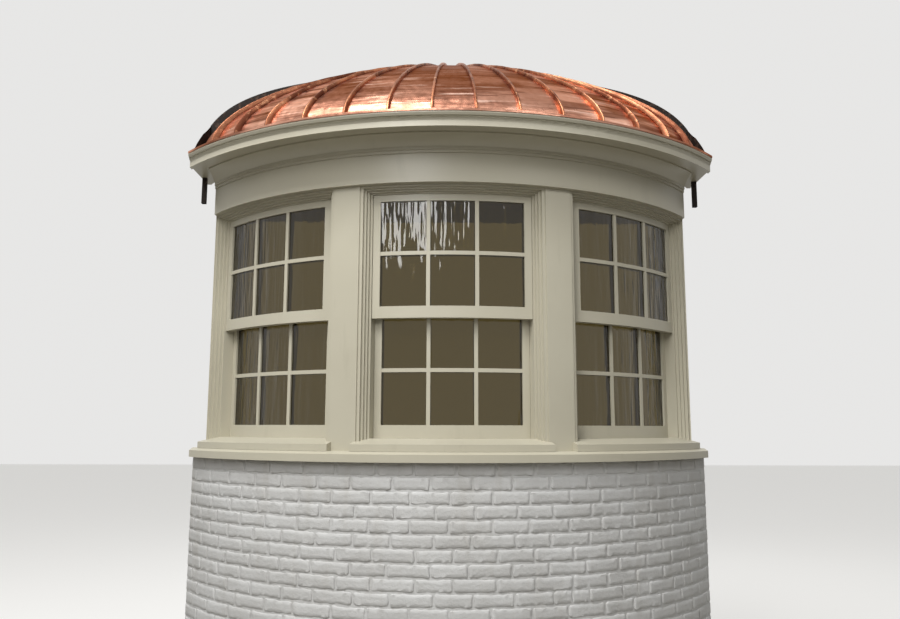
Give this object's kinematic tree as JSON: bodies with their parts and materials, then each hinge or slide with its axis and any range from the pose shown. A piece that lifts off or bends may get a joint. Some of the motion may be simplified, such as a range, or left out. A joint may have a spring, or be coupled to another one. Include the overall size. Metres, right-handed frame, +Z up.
{
  "type": "bow-front bay window with half-dome copper roof",
  "caption": "Bow-front bay window: curved painted brick base, curved double-hung windows, moulded cornice and half-dome standing-seam copper roof.",
  "frame": {"origin": "middle of the line where the bay meets the house wall, at ground level", "axes": "+Z up, +Y into the house, +X to the right as seen from outside"},
  "size_m": [2.974, 1.0668, 3.7875],
  "materials": {
    "painted_brick": "clay brick under thick off-white masonry paint, matt",
    "concrete_block": "grey concrete block, matt",
    "framing_lumber": "sawn softwood framing",
    "plywood": "softwood plywood sheet",
    "plaster_board": "gypsum board, matt",
    "window_glass": "clear window glass",
    "copper_sheet": "new bright copper sheet",
    "copper_seam": "copper seam, darkened by soldering and handling",
    "dark_bronze_metal": "dark bronze coated sheet",
    "painted_trim": "wood trim with warm grey satin paint"
  },
  "bodies": {
    "root": {"bed_moulding": "painted_trim", "brick_base_centre": "painted_brick", "brick_base_far_left": "painted_brick", "brick_base_far_right": "painted_brick", "brick_base_left": "painted_brick", "brick_base_right": "painted_brick", "ceiling_board": "plaster_board", "centre_lower_sash": "painted_trim", "centre_upper_sash": "painted_trim", "centre_window_frame": "painted_trim", "centre_window_glass": "window_glass", "copper_apron": "copper_sheet", "copper_roof": "copper_sheet", "corner_posts": "painted_trim", "crown_moulding": "painted_trim", "drop_tubes": "dark_bronze_metal", "floor_deck": "plywood", "floor_joists": "framing_lumber", "foundation_wall": "concrete_block", "frieze": "painted_trim", "knee_wall_frame": "framing_lumber", "knee_wall_lining": "plaster_board", "knee_wall_sheathing": "plywood", "left_lower_sash": "painted_trim", "left_upper_sash": "painted_trim", "left_window_frame": "painted_trim", "left_window_glass": "window_glass", "lower_sill": "painted_trim", "mullion_boards": "painted_trim", "mullion_posts": "framing_lumber", "right_lower_sash": "painted_trim", "right_upper_sash": "painted_trim", "right_window_frame": "painted_trim", "right_window_glass": "window_glass", "roof_cap": "copper_sheet", "roof_decking": "plywood", "roof_plate": "framing_lumber", "roof_ribs": "framing_lumber", "roof_seams": "copper_seam", "soffit": "painted_trim", "wall_flashing": "dark_bronze_metal", "wall_rib": "framing_lumber", "window_header": "framing_lumber", "window_sills": "painted_trim", "window_stool": "painted_trim"}
  },
  "joints": []
}
